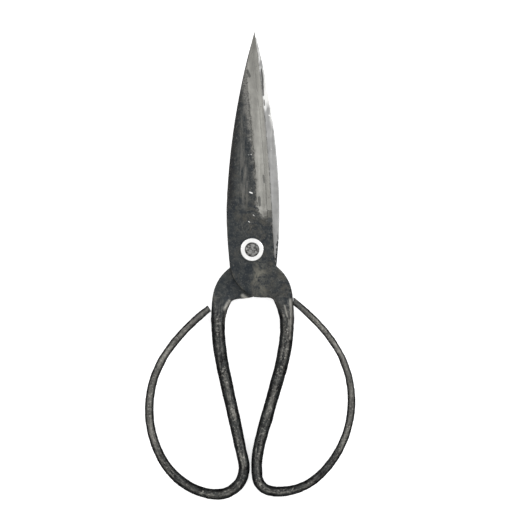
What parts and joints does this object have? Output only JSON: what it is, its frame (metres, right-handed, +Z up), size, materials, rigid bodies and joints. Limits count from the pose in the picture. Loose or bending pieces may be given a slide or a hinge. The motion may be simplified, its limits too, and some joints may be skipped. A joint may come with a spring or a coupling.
{
  "type": "fabric shears",
  "caption": "Hand-forged black carbon-steel fabric shears with long bevelled blades, a riveted pivot with bright washers and wide round wire-like bows.",
  "frame": {"origin": "on the pivot axis, at the flat hammered underside of the rivet, which is the lowest point when the shears lie flat", "axes": "+Y towards the blade tips, +X towards the front limb's bow, +Z up along the rivet to its front head"},
  "size_m": [0.0854, 0.19, 0.0097],
  "materials": {
    "forged_steel": "black forge scale, worn to grey on the rods, with ground bevels",
    "edge_steel": "ground hard steel, satin, streaked along the blade",
    "rivet_steel": "hammered grey head",
    "washer_steel": "bright rounded washer"
  },
  "bodies": {
    "back": {"back_limb": "forged_steel", "back_edge_steel": "edge_steel", "pivot_rivet": "rivet_steel", "front_washer": "washer_steel", "back_washer": "washer_steel"},
    "front": {"front_limb": "forged_steel", "front_edge_steel": "edge_steel"}
  },
  "joints": [
    {"name": "pivot", "type": "hinge", "parent": "back", "child": "front", "pos_m": [0, 0, 0.00485], "axis": [0, 0, 1], "range_deg": [0, 95]}
  ]
}
